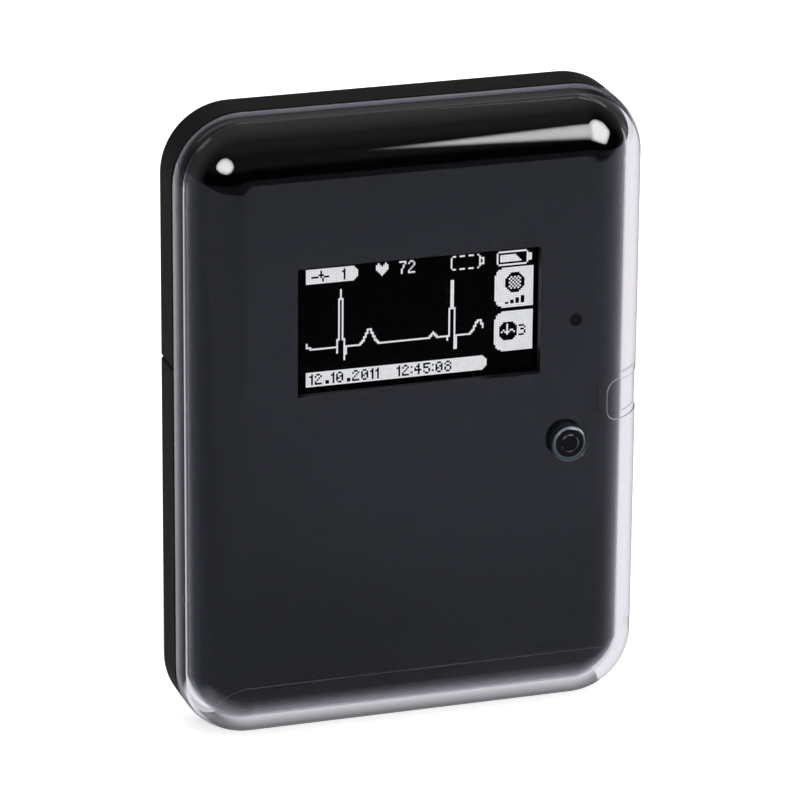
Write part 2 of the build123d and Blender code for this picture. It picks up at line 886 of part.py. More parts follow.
def cable_socket():
    """Socket body with a rectangular mouth, and two ears screwed to the chassis."""
    half = socket_width / 2
    rear = socket_front + socket_height
    body = box(-half, half, socket_front, rear, socket_face_z, socket_length)
    ear = half + socket_ear
    low = socket_length - socket_ear_length
    body += box(-ear, ear, plate_rear, plate_rear + socket_flange, low, socket_length)
    body -= box(
        -half + socket_wall,
        half - socket_wall,
        socket_front + socket_wall,
        rear - socket_wall,
        -overrun,
        mouth_depth,
    )
    for x in pin_places():
        plane = Plane.XY.offset(mouth_depth - overrun)
        body -= extrude(plane * Pos(x, pin_y, 0) * Circle(pin_radius + slide_gap), socket_length)
    for x, z in ear_screws:
        body -= rod(screw_radius + slide_gap, plate_rear - overrun, plate_rear + socket_flange + overrun, x, z)
    return body


def pin_places():
    """Place across the width of each pin of the socket."""
    return [(column - (pin_count - 1) / 2) * pin_pitch for column in range(pin_count)]


def socket_contacts():
    """Row of round pins that stand in the mouth of the socket."""
    length = socket_length + pin_tail - mouth_depth + pin_length
    plane = Plane.XY.offset(mouth_depth - pin_length)
    pins = [extrude(plane * Pos(x, pin_y, 0) * Circle(pin_radius), length) for x in pin_places()]
    return Compound(children=pins)


def socket_screws():
    """Two small screws through the ears of the socket."""
    seat = plate_rear + socket_flange
    return Compound(children=[screw(seat, parting_depth + fit_gap, x, z) for x, z in ear_screws])


pieces = {
    "clear_cover": clear_cover,
    "front_housing": front_housing,
    "chassis": chassis,
    "rear_housing": rear_housing,
    "battery_door": battery_door,
    "bay_seal": bay_seal,
    "case_seal": case_seal,
    "screen_gasket": screen_gasket,
    "screen_glass": screen_glass,
    "screen_frame": screen_frame,
    "screen_flex": screen_flex,
    "flex_connector": flex_connector,
    "main_board": main_board,
    "processor_chip": processor_chip,
    "memory_chip": memory_chip,
    "input_amplifiers": input_amplifiers,
    "shield_can": shield_can,
    "buzzer": buzzer,
    "card_holder": card_holder,
    "memory_card": memory_card,
    "status_led": status_led,
    "light_pipe": light_pipe,
    "event_button": event_button,
    "switch_plunger": switch_plunger,
    "switch_body": switch_body,
    "button_seal": button_seal,
    "battery_cell": battery_cell,
    "positive_contact": positive_contact,
    "negative_contact": negative_contact,
    "battery_spring": battery_spring,
    "reserve_cell": reserve_cell,
    "housing_screws": housing_screws,
    "board_screws": board_screws,
    "cable_socket": cable_socket,
    "socket_contacts": socket_contacts,
    "socket_screws": socket_screws,
}

os.makedirs("parts", exist_ok=True)
for name, make in pieces.items():
    shape = make()
    export_step(shape, f"parts/{name}.step")
    print(name, round(shape.volume, 1), "mm3")
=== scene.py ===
# %% [markdown]
# # A patient-worn heart recorder under a clear clip-on cover
#
# The recorder is a dark slim case. A hard clear shell lies over its whole front, and a small dot
# screen, a lamp and one round button look through it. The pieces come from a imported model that
# already has their real sizes, so this lesson is about finish: clear plastic, gloss black plastic,
# a fine moulded texture, a lit screen, and the studio that these finishes mirror.

import json
import math

import bpy
import numpy as np
from mathutils import Matrix, Vector


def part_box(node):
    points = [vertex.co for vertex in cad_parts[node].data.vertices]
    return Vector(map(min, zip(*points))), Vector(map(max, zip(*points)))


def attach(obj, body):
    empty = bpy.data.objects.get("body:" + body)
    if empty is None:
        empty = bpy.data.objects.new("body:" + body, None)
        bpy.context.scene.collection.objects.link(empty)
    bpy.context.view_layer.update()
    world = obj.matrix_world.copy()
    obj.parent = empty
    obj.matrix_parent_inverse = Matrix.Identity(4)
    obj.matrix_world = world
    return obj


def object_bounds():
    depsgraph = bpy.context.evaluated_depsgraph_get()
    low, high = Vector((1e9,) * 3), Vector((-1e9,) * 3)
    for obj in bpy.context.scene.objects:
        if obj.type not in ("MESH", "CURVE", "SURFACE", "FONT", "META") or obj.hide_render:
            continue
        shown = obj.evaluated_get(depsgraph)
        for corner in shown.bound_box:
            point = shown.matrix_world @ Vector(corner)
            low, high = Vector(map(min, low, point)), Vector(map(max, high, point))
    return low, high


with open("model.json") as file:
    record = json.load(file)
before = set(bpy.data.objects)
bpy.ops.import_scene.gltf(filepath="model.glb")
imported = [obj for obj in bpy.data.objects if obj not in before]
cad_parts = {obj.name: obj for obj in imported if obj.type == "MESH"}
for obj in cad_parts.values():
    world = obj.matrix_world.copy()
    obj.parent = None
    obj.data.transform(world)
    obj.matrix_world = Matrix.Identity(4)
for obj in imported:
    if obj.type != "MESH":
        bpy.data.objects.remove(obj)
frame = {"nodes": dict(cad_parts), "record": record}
nodes = frame["nodes"]
case_low, case_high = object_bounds()
print("pieces", len(nodes), "case box in mm", [round(1000 * v, 1) for v in (case_high - case_low)])

# %% [markdown]
# ## Units and places
#
# Everything is in metres, with +Z up and the screen facing -Y. Small sizes read better in
# millimetres, so they are written as a number times `mm`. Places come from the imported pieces
# themselves, so a change of the model moves the finish with it.

# %% Places read from the model
mm = 0.001
cover_low, cover_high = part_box("clear_cover")
glass_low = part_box("screen_glass")[0]
button_low, button_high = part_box("event_button")
centre_z = (cover_low.z + cover_high.z) / 2
button_centre = ((button_low.x + button_high.x) / 2, (button_low.z + button_high.z) / 2)
print("cover front at", round(cover_low.y / mm, 2), "mm")
print("screen glass at", round(glass_low.y / mm, 2), "mm")

# %% [markdown]
# ## The camera
#
# The picture is taken from a little above and from the left, with a long lens, so the sides stay
# almost parallel. The camera is given by the point that it aims at, its turn round the recorder,
# its height above the horizon, a slight roll and its distance.

# %% Set the camera
camera_aim = Vector((-0.98 * mm, 0.48 * mm, 49.97 * mm))
camera_turn = math.radians(-18.114)
camera_rise = math.radians(20.009)
camera_roll = math.radians(0.448)
camera_distance = 797.0 * mm
camera_lens = 239.82
camera_sensor = 36.0


def place_camera():
    """Camera on a sphere round the aim. The way back is (sin t cos r, -cos t cos r, sin r)."""
    back = Vector(
        (
            math.sin(camera_turn) * math.cos(camera_rise),
            -math.cos(camera_turn) * math.cos(camera_rise),
            math.sin(camera_rise),
        )
    )
    turn = (-back).to_track_quat("-Z", "Y").to_matrix() @ Matrix.Rotation(camera_roll, 3, "Z")
    data = bpy.data.cameras.new("camera")
    data.lens = camera_lens
    data.sensor_width = camera_sensor
    camera = bpy.data.objects.new("camera", data)
    bpy.context.scene.collection.objects.link(camera)
    camera.matrix_world = Matrix.Translation(camera_aim + back * camera_distance) @ turn.to_4x4()
    bpy.context.scene.camera = camera
    return camera


camera = place_camera()
print("camera at", [round(v / mm, 1) for v in camera.matrix_world.translation], "mm")

# %% [markdown]
# ## Helpers for meshes and materials
#
# A surface is worked out as arrays of points and faces, and goes into a mesh in one call. A
# material starts as one Principled shader with its even values on its own sockets. Noise on
# Object coordinates then gives it grain: a slight change of colour, of roughness and of height.

# %% Mesh helper


def mesh_object(name, points, faces):
    """Object at the origin with the given points (n by 3) and faces (lists of point numbers)."""
    mesh = bpy.data.meshes.new(name)
    mesh.from_pydata(np.asarray(points).tolist(), [], np.asarray(faces).tolist())
    mesh.update()
    piece = bpy.data.objects.new(name, mesh)
    bpy.context.scene.collection.objects.link(piece)
    return piece


# %% Node helpers


def feed(tree, socket, value):
    """Give a socket a plain value, or link it to another socket."""
    if isinstance(value, (int, float)):
        socket.default_value = value
    else:
        tree.links.new(value, socket)


def math_node(tree, operation, first, second=0.0):
    """Math node on two values or sockets."""
    node = tree.nodes.new("ShaderNodeMath")
    node.operation = operation
    feed(tree, node.inputs[0], first)
    feed(tree, node.inputs[1], second)
    return node.outputs["Value"]


def times(tree, first, *others):
    """Product of two or more values or sockets."""
    for other in others:
        first = math_node(tree, "MULTIPLY", first, other)
    return first


def above(tree, value, limit):
    """One where the value is greater than the limit, else zero."""
    return math_node(tree, "GREATER_THAN", value, limit)


def below(tree, value, limit):
    """One where the value is less than the limit, else zero."""
    return math_node(tree, "LESS_THAN", value, limit)


def ramp_node(tree, signal, low, high, stops):
    """Grey value from stops of (signal, value) between low and high, joined by straight lines."""
    place = tree.nodes.new("ShaderNodeMapRange")
    place.inputs["From Min"].default_value = low
    place.inputs["From Max"].default_value = high
    tree.links.new(signal, place.inputs["Value"])
    ramp = tree.nodes.new("ShaderNodeValToRGB")
    while len(ramp.color_ramp.elements) < len(stops):
        ramp.color_ramp.elements.new(0.5)
    for element, (at, value) in zip(ramp.color_ramp.elements, stops):
        element.position = (at - low) / (high - low)
        element.color = (value, value, value, 1.0)
    tree.links.new(place.outputs["Result"], ramp.inputs["Fac"])
    return ramp.outputs["Color"]


def mix_node(tree, kind, factor):
    """The two inputs and the output of a Mix node for the kind of data."""
    node = tree.nodes.new("ShaderNodeMix")
    node.data_type = kind
    tree.links.new(factor, node.inputs["Factor"])
    first, second = [socket for socket in node.inputs if socket.enabled and socket.name in "AB"]
    result = [socket for socket in node.outputs if socket.enabled][0]
    return first, second, result


def join(tree, values):
    """Vector from three values or sockets."""
    node = tree.nodes.new("ShaderNodeCombineXYZ")
    for socket, value in zip(node.inputs, values):
        feed(tree, socket, value)
    return node.outputs["Vector"]


def vector_node(tree, operation, first, second=None):
    """Vector math node on one or two sockets."""
    node = tree.nodes.new("ShaderNodeVectorMath")
    node.operation = operation
    tree.links.new(first, node.inputs[0])
    if second is not None:
        tree.links.new(second, node.inputs[1])
    return node


def object_place(tree):
    """X, Y and Z of the point in Object coordinates."""
    place = tree.nodes.new("ShaderNodeTexCoord")
    split = tree.nodes.new("ShaderNodeSeparateXYZ")
    tree.links.new(place.outputs["Object"], split.inputs["Vector"])
    return [split.outputs[axis] for axis in "XYZ"]


def beyond(tree, value, half):
    """How far a value lies past plus or minus half: the value less its clamped self."""
    low = math_node(tree, "MAXIMUM", value, -half)
    return math_node(tree, "SUBTRACT", value, math_node(tree, "MINIMUM", low, half))


def outside(tree, x, z, centre, half, corner=0.0):
    """Distance from a rounded box in the XZ plane: the length past its core, less the corner."""
    across = beyond(tree, math_node(tree, "SUBTRACT", x, centre[0]), half[0] - corner)
    up = beyond(tree, math_node(tree, "SUBTRACT", z, centre[1]), half[1] - corner)
    length = vector_node(tree, "LENGTH", join(tree, (across, 0.0, up))).outputs["Value"]
    return math_node(tree, "SUBTRACT", length, corner)


def from_button(tree, x, z):
    """Distance from the axis of the button."""
    return outside(tree, x, z, button_centre, (0.0, 0.0))


def near(tree, value, target, reach, strength=1.0):
    """The strength where a value meets the target, falling straight to zero at the given reach."""
    node = tree.nodes.new("ShaderNodeMapRange")
    node.inputs["From Max"].default_value = reach
    node.inputs["To Min"].default_value = strength
    node.inputs["To Max"].default_value = 0.0
    gap = math_node(tree, "ABSOLUTE", math_node(tree, "SUBTRACT", value, target))
    tree.links.new(gap, node.inputs["Value"])
    return node.outputs["Result"]


# %% Material helpers


def base_material(name, colour, roughness, metallic=0.0, specular=0.5):
    """Material with one Principled shader whose even values stand on its own sockets."""
    material = bpy.data.materials.new(name)
    material.use_nodes = True
    shader = material.node_tree.nodes["Principled BSDF"]
    shader.inputs["Base Color"].default_value = (*colour, 1.0)
    shader.inputs["Roughness"].default_value = roughness
    shader.inputs["Metallic"].default_value = metallic
    shader.inputs["Specular IOR Level"].default_value = specular
    return material


def noise(material, size, detail=4.0, stretch=(1.0, 1.0, 1.0)):
    """Noise texture on Object coordinates whose features are about size metres across."""
    tree = material.node_tree
    place = tree.nodes.new("ShaderNodeTexCoord")
    mapping = tree.nodes.new("ShaderNodeMapping")
    mapping.inputs["Scale"].default_value = stretch
    texture = tree.nodes.new("ShaderNodeTexNoise")
    texture.inputs["Scale"].default_value = 1.0 / size
    texture.inputs["Detail"].default_value = detail
    tree.links.new(place.outputs["Object"], mapping.inputs["Vector"])
    tree.links.new(mapping.outputs["Vector"], texture.inputs["Vector"])
    return texture.outputs["Fac"]


def spread(material, signal, low, high):
    """Map a 0 to 1 signal to the range low to high."""
    node = material.node_tree.nodes.new("ShaderNodeMapRange")
    node.inputs["To Min"].default_value = low
    node.inputs["To Max"].default_value = high
    material.node_tree.links.new(signal, node.inputs["Value"])
    return node.outputs["Result"]


def vary_colour(material, signal, dark, light):
    """Base colour that runs from dark to light with the signal."""
    tree = material.node_tree
    ramp = tree.nodes.new("ShaderNodeValToRGB")
    ramp.color_ramp.elements[0].color = (*dark, 1.0)
    ramp.color_ramp.elements[1].color = (*light, 1.0)
    tree.links.new(signal, ramp.inputs["Fac"])
    tree.links.new(ramp.outputs["Color"], tree.nodes["Principled BSDF"].inputs["Base Color"])


def vary_roughness(material, signal, low, high):
    """Roughness that runs from low to high with the signal."""
    shader = material.node_tree.nodes["Principled BSDF"]
    material.node_tree.links.new(spread(material, signal, low, high), shader.inputs["Roughness"])


def vary_finish(material, colour, colours, roughness, sheen, broad, fine):
    """Vary the colour with a broad noise and the roughness with a fine one.

    Each runs between its own value times the two factors of its pair, colours or sheen.
    """
    dark, light = [[factor * channel for channel in colour] for factor in colours]
    vary_colour(material, broad, dark, light)
    low, high = [factor * roughness for factor in sheen]
    vary_roughness(material, fine, low, high)


def bump(material, signal, height):
    """Bump of the given height in metres, added on top of the normals that are there."""
    tree = material.node_tree
    shader = tree.nodes["Principled BSDF"]
    node = tree.nodes.new("ShaderNodeBump")
    node.inputs["Distance"].default_value = height
    if shader.inputs["Normal"].is_linked:
        tree.links.new(shader.inputs["Normal"].links[0].from_socket, node.inputs["Normal"])
    tree.links.new(signal, node.inputs["Height"])
    tree.links.new(node.outputs["Normal"], shader.inputs["Normal"])


def patch_finish(material, mask, colour, roughness):
    """Another colour and roughness where the mask is one."""
    tree = material.node_tree
    shader = tree.nodes["Principled BSDF"]
    finish = (("Base Color", (*colour, 1.0), "RGBA"), ("Roughness", roughness, "FLOAT"))
    for name, value, kind in finish:
        first, second, result = mix_node(tree, kind, mask)
        if shader.inputs[name].is_linked:
            tree.links.new(shader.inputs[name].links[0].from_socket, first)
        else:
            first.default_value = shader.inputs[name].default_value
        second.default_value = value
        tree.links.new(result, shader.inputs[name])


# %% [markdown]
# ## Smooth roundings
#
# A gloss surface shows every small error of its mesh in what it mirrors. The clear shell and the
# body in it are roundings about the same flat rounded rectangle, so their exact normals are easy to
# work out from the place alone, and the materials use those instead of the mesh's.

# %% Exact normals of the shells
core_half = (26.8 * mm, 39.3 * mm)
core_corner = 1.2 * mm
core_y = 0.7 * mm
cover_radii = (9.2 * mm, 7.2 * mm)
housing_radii = (6.95 * mm,)
radius_reach = 0.1 * mm
radius_strength = 50.0
facing_least = 0.9


def rounding(material, radii):
    """Set exact normals, and return how far each point is from the core of the shells.

    The nearest point of a flat rounded rectangle is taken away from the place. Where what is left
    is as long as one of the radii, its direction is the normal, turned to the side of the ray.
    """
    tree = material.node_tree
    x, y, z = object_place(tree)
    ahead = math_node(tree, "MINIMUM", math_node(tree, "SUBTRACT", y, core_y), 0.0)
    across = beyond(tree, x, core_half[0] - core_corner)
    up = beyond(tree, math_node(tree, "SUBTRACT", z, centre_z), core_half[1] - core_corner)
    flat = vector_node(tree, "LENGTH", join(tree, (across, 0.0, up))).outputs["Value"]
    inner = math_node(tree, "MINIMUM", math_node(tree, "DIVIDE", core_corner, flat), 1.0)
    share = math_node(tree, "SUBTRACT", 1.0, inner)
    away = join(tree, (times(tree, across, share), ahead, times(tree, up, share)))
    radius = vector_node(tree, "LENGTH", away).outputs["Value"]
    way = vector_node(tree, "NORMALIZE", away).outputs["Vector"]
    meshed = tree.nodes.new("ShaderNodeNewGeometry").outputs["Normal"]
    facing = vector_node(tree, "DOT_PRODUCT", way, meshed).outputs["Value"]
    turned = vector_node(tree, "SCALE", way)
    tree.links.new(math_node(tree, "SIGN", facing), turned.inputs["Scale"])
    met = 0.0
    for wanted in radii:
        shell = near(tree, radius, wanted, radius_reach, radius_strength)
        met = math_node(tree, "MAXIMUM", met, shell)
    straight = above(tree, math_node(tree, "ABSOLUTE", facing), facing_least)
    met = math_node(tree, "MINIMUM", times(tree, met, straight), 1.0)
    first, second, result = mix_node(tree, "VECTOR", met)
    tree.links.new(meshed, first)
    tree.links.new(turned.outputs["Vector"], second)
    tree.links.new(result, tree.nodes["Principled BSDF"].inputs["Normal"])
    return radius


# %% [markdown]
# ## Clear plastic
#
# The cover is a polished hard plastic, 2 mm thick, with the refraction of acrylic. Everything
# that makes it look clear comes from real refraction in its modelled wall: the pale bands at the
# right and below, and the thin lines at the left. Lamps have to reach what is behind it, so for
# their rays the shader is mixed with a plain Transparent one. A little dust is a rough pale grey.
# The same rough pale grey is painted as a highlight along the edge of the nail recess, where its
# small step would glint, and as a faint line along a long hairline crease near the foot. The sawn
# wall of the button hole is dull: dark where it is seen straight, and a painted pale grey where
# the gloss body behind mirrors it. That pale grey is a painted reflection, standing in for the
# brightness that clear plastic would have there.
#
# A box is given by its centre, its half sizes and its corner radius, as X and Z in the front view,
# and a painted line by its reach to either side and its strength.

# %% Dust, painted lines and the button hole
recess_box = ((48.8 * mm, 49.6 * mm), (20.0 * mm, 3.2 * mm), 1.9 * mm)
recess_painted_highlight = (0.11 * mm, 0.5)
crease_box = ((0.2 * mm, -20.0 * mm), (32.5 * mm, 30.0 * mm), 5.5 * mm)
crease_painted_line = (0.1 * mm, 0.07)
dust_pitch = 6.4 * mm
dust_speck = (0.022, 0.5)
dust_rare = 0.68
dust_clear = 4.0 * mm
skin_radius = 8.9 * mm
hole_radius = 2.65 * mm
hole_edge = 0.2 * mm
inner_edge = 0.05 * mm
direct_ray = 2.5


def dust_and_painted_lines(tree, radius):
    """Mask on the outer shell, away from the button: dust, a painted recess-edge highlight and a
    painted crease line.
    """
    x, _, z = object_place(tree)
    # Painted highlight along the recess edge, and a faint painted line along the crease. The specks
    # are dust.
    recess = near(tree, outside(tree, x, z, *recess_box), 0.0, *recess_painted_highlight)
    crease = near(tree, outside(tree, x, z, *crease_box), 0.0, *crease_painted_line)
    cells = tree.nodes.new("ShaderNodeTexVoronoi")
    cells.inputs["Scale"].default_value = 1.0 / dust_pitch
    tree.links.new(join(tree, (x, z, 0.0)), cells.inputs["Vector"])
    speck = near(tree, cells.outputs["Distance"], 0.0, *dust_speck)
    dust = times(tree, speck, above(tree, cells.outputs["Color"], dust_rare))
    marks = math_node(tree, "MAXIMUM", math_node(tree, "MAXIMUM", recess, dust), crease)
    clear = above(tree, from_button(tree, x, z), dust_clear)
    return times(tree, marks, above(tree, radius, skin_radius), clear)


def hole_wall(tree, radius):
    """Mask of the sawn wall of the button hole, and one for rays that see it without a mirror."""
    x, _, z = object_place(tree)
    wall = below(tree, from_button(tree, x, z), hole_radius + hole_edge)
    between = above(tree, radius, cover_radii[1] + inner_edge)
    path = tree.nodes.new("ShaderNodeLightPath")
    return times(tree, wall, between), below(tree, path.outputs["Ray Depth"], direct_ray)


# %% Clear plastic material
clear_ior = 1.49
clear_tint = (0.975, 0.985, 1.0)
wipe_size = 9 * mm
wipe_stretch = (1.0, 1.0, 0.25)
wipe_roughness = 0.03
# Rough pale grey of the dust, also painted as the recess-edge highlight and the crease line.
dust_and_painted_line_grey = (0.34, 0.32, 0.31)
# Pale grey painted on the hole wall where the gloss body mirrors it: a painted reflection.
wall_painted_reflection_grey = (0.6, 0.61, 0.66)
wall_dark = (0.022, 0.023, 0.028)


def clear_plastic():
    """Refracting plastic with faint wipe marks, open to the rays that come from lamps."""
    material = base_material("clear_plastic", clear_tint, roughness=0.0)
    tree = material.node_tree
    shader = tree.nodes["Principled BSDF"]
    shader.inputs["IOR"].default_value = clear_ior
    wipes = noise(material, wipe_size, detail=6.0, stretch=wipe_stretch)
    vary_roughness(material, wipes, 0.0, wipe_roughness)
    radius = rounding(material, cover_radii)
    marks = dust_and_painted_lines(tree, radius)
    wall, direct = hole_wall(tree, radius)
    # Dust, the painted recess-edge highlight and the painted crease line, all in rough pale grey.
    patch_finish(material, marks, dust_and_painted_line_grey, roughness=0.4)
    # Painted reflection: the wall is pale for mirrored rays, standing in for the brightness of
    # clear plastic there.
    patch_finish(material, wall, wall_painted_reflection_grey, roughness=0.6)
    patch_finish(material, times(tree, wall, direct), wall_dark, roughness=0.6)
    dull = math_node(tree, "MAXIMUM", marks, wall)
    tree.links.new(math_node(tree, "SUBTRACT", 1.0, dull), shader.inputs["Transmission Weight"])
    clear = tree.nodes.new("ShaderNodeBsdfTransparent")
    path = tree.nodes.new("ShaderNodeLightPath")
    mix = tree.nodes.new("ShaderNodeMixShader")
    tree.links.new(path.outputs["Is Shadow Ray"], mix.inputs["Fac"])
    tree.links.new(shader.outputs["BSDF"], mix.inputs[1])
    tree.links.new(clear.outputs["BSDF"], mix.inputs[2])
    tree.links.new(mix.outputs["Shader"], tree.nodes["Material Output"].inputs["Surface"])
    return material


# %% [markdown]
# ## Moulded and metal finishes
#
# The front housing is smooth and nearly black, so what shows on it is what it mirrors. The back
# is spark textured: a fine grain about a sixth of a millimetre across that breaks the gloss. The
# pieces inside have the finishes that such parts have on a bench.

# %% Plastic, rubber and metal materials
housing_dark = (0.0008, 0.0009, 0.0011)
window_box = ((-0.37 * mm, 64.725 * mm), (18.85 * mm, 9.975 * mm))
window_edge = 0.04 * mm
window_dark = (0.012, 0.013, 0.017)
well_radius = 2.7 * mm
button_dark = (0.008, 0.0085, 0.010)
bevel_radius = 2.25 * mm
# The pale blue bevel is a painted reflection. The pale grey ring and the white glint are painted
# highlights.
bevel_painted_reflection_blue = (0.085, 0.125, 0.16)
ring_radius = 1.32 * mm
ring_reach = 0.14 * mm
ring_painted_highlight_grey = (0.2, 0.2, 0.2)
patch_size = 1.2 * mm
ring_highlight_patches = (-2.0, 2.6)
glint_way = (0.755, 0.656)
glint_start = 2.43 * mm
glint_white = (0.9, 0.9, 0.9)
broad_size = 12 * mm
moulded_colours = (0.88, 1.12)
moulded_sheen = (0.85, 1.15)
metal_colours = (0.85, 1.08)
metal_sheen = (0.8, 1.25)
track_size = 2.2 * mm
track_stretch = (0.3, 1.0, 1.6)
track_fold = 0.06
track_gain = 16.0
track_height = 0.02 * mm


def moulded(name, colour, roughness, grain=0.4 * mm, depth=0.004 * mm, specular=0.5, radii=()):
    """Moulded plastic: fine grain in colour, roughness and height."""
    material = base_material(name, colour, roughness, specular=specular)
    if radii:
        rounding(material, radii)
    fine = noise(material, grain)
    broad = noise(material, broad_size, detail=3.0)
    vary_finish(material, colour, moulded_colours, roughness, moulded_sheen, broad, fine)
    bump(material, fine, depth)
    return material


def gloss_housing():
    """Nearly black gloss, with duller walls in the screen window and the button well."""
    material = moulded(
        "dark_gloss_plastic",
        housing_dark,
        0.06,
        grain=0.5 * mm,
        depth=0.0004 * mm,
        radii=housing_radii,
    )
    tree = material.node_tree
    x, _, z = object_place(tree)
    window = below(tree, outside(tree, x, z, *window_box), window_edge)
    patch_finish(material, window, window_dark, roughness=0.5)
    well = below(tree, from_button(tree, x, z), well_radius)
    patch_finish(material, well, wall_dark, roughness=0.5)
    return material


def button_plastic():
    """Dark cap with a pale blue bevel that is a painted reflection, a patchy pale ring of painted
    highlights, and a painted glint at the upper right.
    """
    material = moulded("button_plastic", button_dark, 0.22, grain=0.25 * mm, depth=0.001 * mm)
    tree = material.node_tree
    x, _, z = object_place(tree)
    away = from_button(tree, x, z)
    # Painted reflection: the bevel is pale blue, as its rounding would mirror the room.
    patch_finish(material, above(tree, away, bevel_radius), bevel_painted_reflection_blue, roughness=0.45)
    # Painted highlights: a patchy pale ring where the edges of the raised ring would catch the
    # light.
    patches = spread(material, noise(material, patch_size, detail=1.0), *ring_highlight_patches)
    ring = times(tree, near(tree, away, ring_radius, ring_reach), patches)
    patch_finish(material, ring, ring_painted_highlight_grey, roughness=0.3)
    # Painted glint: white on the bevel at the upper right.
    across = times(tree, math_node(tree, "SUBTRACT", x, button_centre[0]), glint_way[0])
    up = times(tree, math_node(tree, "SUBTRACT", z, button_centre[1]), glint_way[1])
    glint = above(tree, math_node(tree, "ADD", across, up), glint_start)
    patch_finish(material, glint, glint_white, roughness=0.3)
    return material


def metal(name, colour, roughness, brush=(1.0, 1.0, 1.0), grain=0.3 * mm, depth=0.002 * mm):
    """Metal with a brushed or plain grain, drawn out along the axis whose stretch is small."""
    material = base_material(name, colour, roughness, metallic=1.0)
    fine = noise(material, grain, detail=5.0, stretch=brush)
    vary_finish(material, colour, metal_colours, roughness, metal_sheen, fine, fine)
    bump(material, fine, depth)
    return material


def circuit_board():
    """Green solder mask over copper tracks, whose faint relief is noise folded to a zigzag."""
    material = base_material("circuit_board", (0.012, 0.10, 0.045), 0.28)
    tracks = noise(material, track_size, detail=0.0, stretch=track_stretch)
    folds = math_node(material.node_tree, "PINGPONG", tracks, track_fold)
    lanes = spread(material, folds, 0.0, track_gain)
    vary_colour(material, lanes, (0.008, 0.07, 0.03), (0.02, 0.17, 0.075))
    bump(material, lanes, track_height)
    return material


def make_materials():
    """Every material by the name of its slot in the record."""
    return {
        "clear_plastic": clear_plastic(),
        "dark_gloss_plastic": gloss_housing(),
        "black_frame_plastic": moulded("black_frame_plastic", (0.018, 0.018, 0.02), 0.45),
        "black_textured_plastic": moulded(
            "black_textured_plastic",
            (0.0110, 0.0107, 0.0109),
            0.6,
            grain=0.17 * mm,
            depth=0.03 * mm,
            specular=0.04,
        ),
        "seal_rubber": moulded("seal_rubber", (0.012, 0.012, 0.012), 0.75),
        "screen_glass": moulded(
            "screen_glass",
            (0.0008, 0.0008, 0.001),
            0.04,
            grain=1.0 * mm,
            depth=0.0001 * mm,
            specular=0.02,
        ),
        "flex_film": moulded("flex_film", (0.36, 0.15, 0.025), 0.3),
        "circuit_board": circuit_board(),
        "chip_plastic": moulded("chip_plastic", (0.016, 0.016, 0.018), 0.5, 0.2 * mm, 0.008 * mm),
        "tinned_metal": metal("tinned_metal", (0.66, 0.66, 0.64), 0.3, (1.0, 1.0, 0.1)),
        "card_plastic": moulded("card_plastic", (0.014, 0.014, 0.02), 0.35),
        "lamp_plastic": moulded("lamp_plastic", (0.78, 0.74, 0.55), 0.25),
        "smoked_plastic": moulded("smoked_plastic", (0.006, 0.0065, 0.008), 0.3, specular=0.15),
        "button_plastic": button_plastic(),
        "plunger_plastic": moulded("plunger_plastic", (0.04, 0.04, 0.042), 0.4),
        "cell_sleeve": moulded("cell_sleeve", (0.06, 0.12, 0.20), 0.3),
        "contact_metal": metal("contact_metal", (0.72, 0.69, 0.62), 0.22),
        "pouch_foil": metal(
            "pouch_foil", (0.70, 0.71, 0.73), 0.32, grain=1.6 * mm, depth=0.02 * mm
        ),
        "screw_steel": metal("screw_steel", (0.22, 0.22, 0.23), 0.35),
        "socket_plastic": moulded("socket_plastic", (0.02, 0.02, 0.022), 0.4),
        "gold_contact": metal("gold_contact", (0.85, 0.60, 0.25), 0.2),
    }


materials = make_materials()
print("materials", len(materials))

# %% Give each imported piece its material
for part in frame["record"]["subparts"]:
    slots = nodes[part["node"]].data.materials
    slots.clear()
    slots.append(materials[part["material_slot"]])

# %% [markdown]
# ## The dot screen
#
# The screen is a grid of 128 by 64 dots behind the window. Each lit dot is a small glowing
# square just in front of the black glass, so the picture is a table of true and false that is
# drawn by a few rules: a heart trace from bell curves, plain digits, and simple signs. Below, the
# name of a place holds the row and column of a sign's upper left dot, and rows or columns are the
# first and last ones of a filled box.

# %% Digits and signs of the screen
screen_columns = 128
screen_rows = 64
digit_rows = {
    "0": ".##. #..# #..# #.## ##.# #..# .##.",
    "1": ".# ## .# .# .# .# .#",
    "2": ".##. #..# ...# ..#. .#.. #... ####",
    "3": "###. ...# ...# .##. ...# ...# ###.",
    "4": "..#. .##. .##. #.#. #### ..#. ..#.",
    "5": "#### #... #... ###. ...# #..# .##.",
    "6": ".##. #... #... ###. #..# #..# .##.",
    "7": "#### ...# ..#. ..#. .#.. .#.. .#..",
    "8": ".##. #..# #..# .##. #..# #..# .##.",
    "9": ".##. #..# #..# .### ...# ...# .##.",
    ":": ". # # . . # .",
    ".": "... ... ... ... ... .## .##",
}
heart_rows = ".#...#. ###.### ####### ####### .#####. ..###.. ...#..."
trace_sign = ".....#.... .....#.... ....###... ####.#.### ......#... ......#..."
pulse_sign = (
    ".......... ....#..... ....#..... ....#..... ..#.#.##.. "
    ".#.###..#. ....#..... .......... .........."
)
level_sign = ".........## ......##.## ...##.##.## ##.##.##.##"


def bits(rows):
    """Table of true and false from rows of # and . with spaces between the rows."""
    return np.array([[mark == "#" for mark in row] for row in rows.split()])


def stamp(dots, row, column, sign, lit=True):
    """Draw a sign with its upper left dot at (row, column)."""
    height, width = sign.shape
    area = dots[row : row + height, column : column + width]
    area[sign] = lit


def write(dots, row, column, digits, lit=True, short=False):
    """Write digits one column apart. Short ones leave out their third row."""
    for digit in digits:
        sign = bits(digit_rows[digit])
        if short:
            sign = np.delete(sign, 2, axis=0)
        stamp(dots, row, column, sign, lit)
        column += sign.shape[1] + 1


